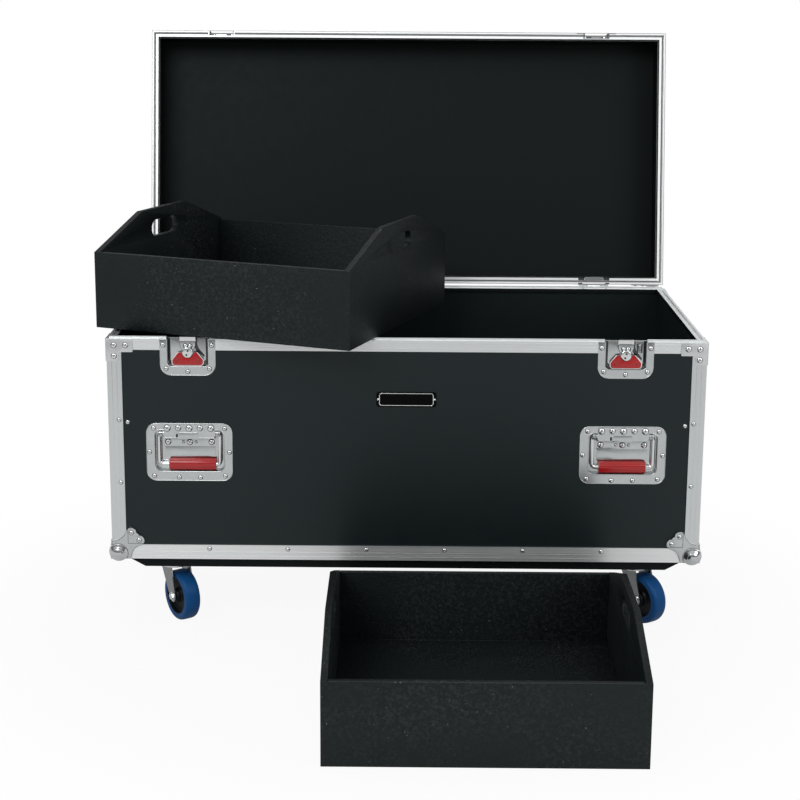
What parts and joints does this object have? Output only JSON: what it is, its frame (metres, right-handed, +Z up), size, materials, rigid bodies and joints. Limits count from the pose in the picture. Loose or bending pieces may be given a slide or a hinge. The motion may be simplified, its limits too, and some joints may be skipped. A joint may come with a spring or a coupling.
{
  "type": "road trunk with loose totes",
  "caption": "Open plywood road trunk on swivel casters, with recessed latches, spring handles and ball corners, and loose plywood totes that pack inside it.",
  "frame": {"origin": "on the floor, under the middle of the whole set's box", "axes": "+Z up, -Y out of the trunk's front, +X to the right as seen from the front"},
  "size_m": [1.183, 1.3449, 1.1392],
  "materials": {
    "laminate": "dark stippled laminate over plywood",
    "crate_paint": "matte dark textured coating over plywood",
    "aluminium": "satin anodised extrusion",
    "zinc_steel": "bright zinc plate",
    "dish_steel": "zinc plated pressed steel",
    "red_plastic": "moulded red plastic",
    "plate_black": "black with a bright edge line, left bare",
    "blue_tread": "dark blue elastic tread"
  },
  "bodies": {
    "case": {"front_panel": "laminate", "back_panel": "laminate", "left_panel": "laminate", "right_panel": "laminate", "floor_panel": "laminate", "caster_board": "laminate", "bottom_frame": "aluminium", "corner_edge_front_left": "aluminium", "corner_edge_front_right": "aluminium", "corner_edge_back_left": "aluminium", "corner_edge_back_right": "aluminium", "body_rim": "aluminium", "name_plate": "plate_black", "hinge_left_body_leaf": "zinc_steel", "hinge_right_body_leaf": "zinc_steel", "latch_left_dish": "dish_steel", "latch_right_dish": "dish_steel", "handle_front_left_dish": "dish_steel", "handle_front_right_dish": "dish_steel", "handle_end_left_dish": "dish_steel", "handle_end_right_dish": "dish_steel", "caster_front_left_plate": "zinc_steel", "caster_front_right_plate": "zinc_steel", "caster_back_left_plate": "zinc_steel", "caster_back_right_plate": "zinc_steel"},
    "lid": {"lid_shell": "laminate", "lid_rim": "aluminium", "lid_frame": "aluminium", "hinge_left_lid_leaf": "zinc_steel", "hinge_right_lid_leaf": "zinc_steel", "keeper_left": "dish_steel", "keeper_right": "dish_steel"},
    "crate_upper": {"crate_upper_trough": "crate_paint", "crate_upper_left_end": "crate_paint", "crate_upper_right_end": "crate_paint"},
    "crate_lower": {"crate_lower_trough": "crate_paint", "crate_lower_left_end": "crate_paint", "crate_lower_right_end": "crate_paint"},
    "latch_left_rotor": {"latch_left_rotor": "zinc_steel"},
    "latch_left_wing": {"latch_left_wing": "red_plastic"},
    "latch_left_hook": {"latch_left_hook": "zinc_steel"},
    "handle_front_left": {"handle_front_left_bail": "zinc_steel", "handle_front_left_grip": "red_plastic"},
    "handle_end_left": {"handle_end_left_bail": "zinc_steel", "handle_end_left_grip": "red_plastic"},
    "caster_front_left_fork": {"caster_front_left_fork": "zinc_steel"},
    "caster_front_left_wheel": {"caster_front_left_wheel": "blue_tread"},
    "caster_back_left_fork": {"caster_back_left_fork": "zinc_steel"},
    "caster_back_left_wheel": {"caster_back_left_wheel": "blue_tread"},
    "latch_right_rotor": {"latch_right_rotor": "zinc_steel"},
    "latch_right_wing": {"latch_right_wing": "red_plastic"},
    "latch_right_hook": {"latch_right_hook": "zinc_steel"},
    "handle_front_right": {"handle_front_right_bail": "zinc_steel", "handle_front_right_grip": "red_plastic"},
    "handle_end_right": {"handle_end_right_bail": "zinc_steel", "handle_end_right_grip": "red_plastic"},
    "caster_front_right_fork": {"caster_front_right_fork": "zinc_steel"},
    "caster_front_right_wheel": {"caster_front_right_wheel": "blue_tread"},
    "caster_back_right_fork": {"caster_back_right_fork": "zinc_steel"},
    "caster_back_right_wheel": {"caster_back_right_wheel": "blue_tread"}
  },
  "joints": [
    {"name": "lid_hinge", "type": "hinge", "parent": "case", "child": "lid", "pos_m": [0.0125, 0.4705, 0.58285], "axis": [1, 0, 0], "range_deg": [0, 100]},
    {"name": "crate_upper_slide", "type": "slide", "parent": "case", "child": "crate_upper", "axis": [0, -1, 0], "range_m": [0, 0.65]},
    {"name": "crate_lower_lift", "type": "slide", "parent": "case", "child": "crate_lower", "axis": [0, 0, 1], "range_m": [0, 0.25]},
    {"name": "latch_left_turn", "type": "hinge", "parent": "case", "child": "latch_left_rotor", "pos_m": [-0.4045, -0.096, 0.5561], "axis": [0, 1, 0], "range_deg": [0, 180]},
    {"name": "latch_left_fold", "type": "hinge", "parent": "latch_left_rotor", "child": "latch_left_wing", "pos_m": [-0.4045, -0.0949, 0.5561], "axis": [-1, 0, 0], "range_deg": [0, 90]},
    {"name": "latch_left_tip", "type": "hinge", "parent": "case", "child": "latch_left_hook", "pos_m": [-0.4045, -0.0849, 0.5721], "axis": [-1, 0, 0], "range_deg": [0, 12]},
    {"name": "handle_front_left_swing", "type": "hinge", "parent": "case", "child": "handle_front_left", "pos_m": [-0.4045, -0.0885, 0.3949], "axis": [-1, 0, 0], "range_deg": [0, 90], "stiffness_Nm_per_rad": 0.3},
    {"name": "handle_end_left_swing", "type": "hinge", "parent": "case", "child": "handle_end_left", "pos_m": [-0.553, 0.185, 0.3949], "axis": [0, 1, 0], "range_deg": [0, 90], "stiffness_Nm_per_rad": 0.3},
    {"name": "caster_front_left_swivel", "type": "hinge", "parent": "case", "child": "caster_front_left_fork", "pos_m": [-0.4475, -0.0195, 0.1127], "axis": [0, 0, 1], "continuous": true},
    {"name": "caster_front_left_roll", "type": "hinge", "parent": "caster_front_left_fork", "child": "caster_front_left_wheel", "pos_m": [-0.43144, -0.04244, 0.05], "axis": [0.8192, 0.5736, 0], "continuous": true},
    {"name": "caster_back_left_swivel", "type": "hinge", "parent": "case", "child": "caster_back_left_fork", "pos_m": [-0.4475, 0.3895, 0.1127], "axis": [0, 0, 1], "continuous": true},
    {"name": "caster_back_left_roll", "type": "hinge", "parent": "caster_back_left_fork", "child": "caster_back_left_wheel", "pos_m": [-0.43144, 0.36656, 0.05], "axis": [0.8192, 0.5736, 0], "continuous": true},
    {"name": "latch_right_turn", "type": "hinge", "parent": "case", "child": "latch_right_rotor", "pos_m": [0.4295, -0.096, 0.5561], "axis": [0, 1, 0], "range_deg": [0, 180]},
    {"name": "latch_right_fold", "type": "hinge", "parent": "latch_right_rotor", "child": "latch_right_wing", "pos_m": [0.4295, -0.0949, 0.5561], "axis": [-1, 0, 0], "range_deg": [0, 90]},
    {"name": "latch_right_tip", "type": "hinge", "parent": "case", "child": "latch_right_hook", "pos_m": [0.4295, -0.0849, 0.5721], "axis": [-1, 0, 0], "range_deg": [0, 12]},
    {"name": "handle_front_right_swing", "type": "hinge", "parent": "case", "child": "handle_front_right", "pos_m": [0.4295, -0.0885, 0.3949], "axis": [-1, 0, 0], "range_deg": [0, 90], "stiffness_Nm_per_rad": 0.3},
    {"name": "handle_end_right_swing", "type": "hinge", "parent": "case", "child": "handle_end_right", "pos_m": [0.578, 0.185, 0.3949], "axis": [0, -1, 0], "range_deg": [0, 90], "stiffness_Nm_per_rad": 0.3},
    {"name": "caster_front_right_swivel", "type": "hinge", "parent": "case", "child": "caster_front_right_fork", "pos_m": [0.4725, -0.0195, 0.1127], "axis": [0, 0, 1], "continuous": true},
    {"name": "caster_front_right_roll", "type": "hinge", "parent": "caster_front_right_fork", "child": "caster_front_right_wheel", "pos_m": [0.48856, -0.04244, 0.05], "axis": [0.8192, 0.5736, 0], "continuous": true},
    {"name": "caster_back_right_swivel", "type": "hinge", "parent": "case", "child": "caster_back_right_fork", "pos_m": [0.4725, 0.3895, 0.1127], "axis": [0, 0, 1], "continuous": true},
    {"name": "caster_back_right_roll", "type": "hinge", "parent": "caster_back_right_fork", "child": "caster_back_right_wheel", "pos_m": [0.48856, 0.36656, 0.05], "axis": [0.8192, 0.5736, 0], "continuous": true}
  ],
  "couplings": [
    {"joint": "crate_upper_slide", "follows": "lid_hinge", "m_per_rad": 0.3696},
    {"joint": "latch_left_tip", "follows": "latch_left_turn", "ratio": 0.0666},
    {"joint": "latch_right_tip", "follows": "latch_right_turn", "ratio": 0.0666}
  ]
}
